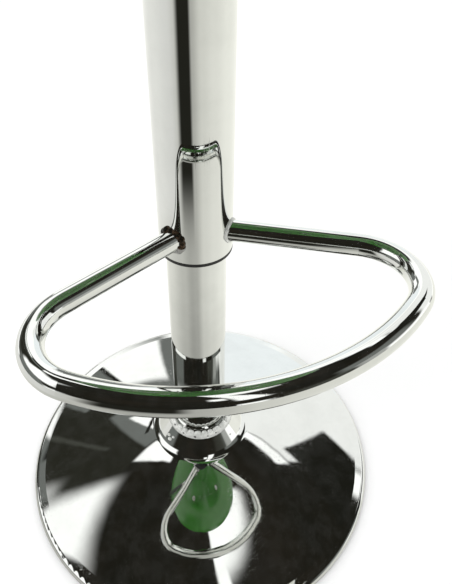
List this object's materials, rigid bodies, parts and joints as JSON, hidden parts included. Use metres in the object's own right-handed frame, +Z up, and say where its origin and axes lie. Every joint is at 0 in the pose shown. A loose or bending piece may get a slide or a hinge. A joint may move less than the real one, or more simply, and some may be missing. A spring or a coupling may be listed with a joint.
{
  "type": "bar stool",
  "caption": "Chromed pedestal bar stool with a gas lift: round dished foot, sliding sleeve with a D-shaped footrest, swivelling round padded seat and a lift lever.",
  "frame": {"origin": "on the floor, on the column's axis", "axes": "+Z up along the column, -Y towards the front of the footrest, -X towards the lever"},
  "size_m": [0.39, 0.3975, 0.7513],
  "materials": {
    "chrome": "polished",
    "black_rubber": "matte",
    "bare_steel": "satin",
    "zinc_steel": "satin",
    "black_paint": "satin",
    "black_plastic": "matte",
    "green_shell": "gloss",
    "green_paint": "gloss",
    "green_cloth": "satin",
    "plywood": "matte"
  },
  "bodies": {
    "base": {"base_dish": "chrome", "floor_ring": "black_rubber", "base_plate": "bare_steel", "hub_ring": "chrome", "base_weld": "chrome", "lower_tube": "chrome", "column_tube": "bare_steel", "column_floor": "bare_steel", "column_bush": "black_plastic", "tube_guide": "black_plastic", "bearing_lower_race": "bare_steel"},
    "rod": {"piston_rod": "bare_steel", "piston": "bare_steel", "piston_seal": "black_rubber", "rod_shoulder": "bare_steel", "bump_stop": "black_rubber", "rod_washer": "bare_steel", "rod_clip": "bare_steel", "bearing_upper_race": "bare_steel"},
    "bearing_cage": {"ball_cage": "black_plastic", "bearing_balls": "bare_steel"},
    "lift": {"gas_cylinder": "black_paint", "rod_guide": "black_plastic", "rod_seal": "black_rubber", "valve_block": "bare_steel", "sleeve": "chrome", "sleeve_bush": "black_plastic", "sleeve_head": "bare_steel", "footrest_ring": "chrome", "footrest_weld_left": "chrome", "footrest_weld_right": "chrome", "taper_socket": "black_paint", "seat_plate": "green_paint", "lever_ears": "black_paint", "lever_pin": "bare_steel", "seat_screws": "zinc_steel", "seat_washers": "zinc_steel", "seat_nuts": "zinc_steel", "seat_pan": "green_shell", "seat_board": "plywood", "seat_cushion": "green_cloth", "seat_piping": "green_cloth"},
    "lever": {"lever_rod": "zinc_steel", "lever_grip": "black_plastic"},
    "button": {"valve_pin": "bare_steel"}
  },
  "joints": [
    {"name": "seat_swivel", "type": "hinge", "parent": "base", "child": "rod", "pos_m": [0, 0, 0.03], "axis": [0, 0, 1], "continuous": true},
    {"name": "bearing_roll", "type": "hinge", "parent": "base", "child": "bearing_cage", "pos_m": [0, 0, 0.032], "axis": [0, 0, 1], "continuous": true},
    {"name": "seat_lift", "type": "slide", "parent": "rod", "child": "lift", "axis": [0, 0, 1], "range_m": [-0.14, 0.07]},
    {"name": "lever_pivot", "type": "hinge", "parent": "lift", "child": "lever", "pos_m": [-0.026, 0, 0.668], "axis": [0, 1, 0], "range_deg": [0, 6.5], "stiffness_Nm_per_rad": 10},
    {"name": "valve_press", "type": "slide", "parent": "lift", "child": "button", "axis": [0, 0, -1], "range_m": [0, 0.003]}
  ],
  "couplings": [
    {"joint": "bearing_roll", "follows": "seat_swivel", "ratio": 0.5},
    {"joint": "valve_press", "follows": "lever_pivot", "m_per_rad": 0.026}
  ]
}
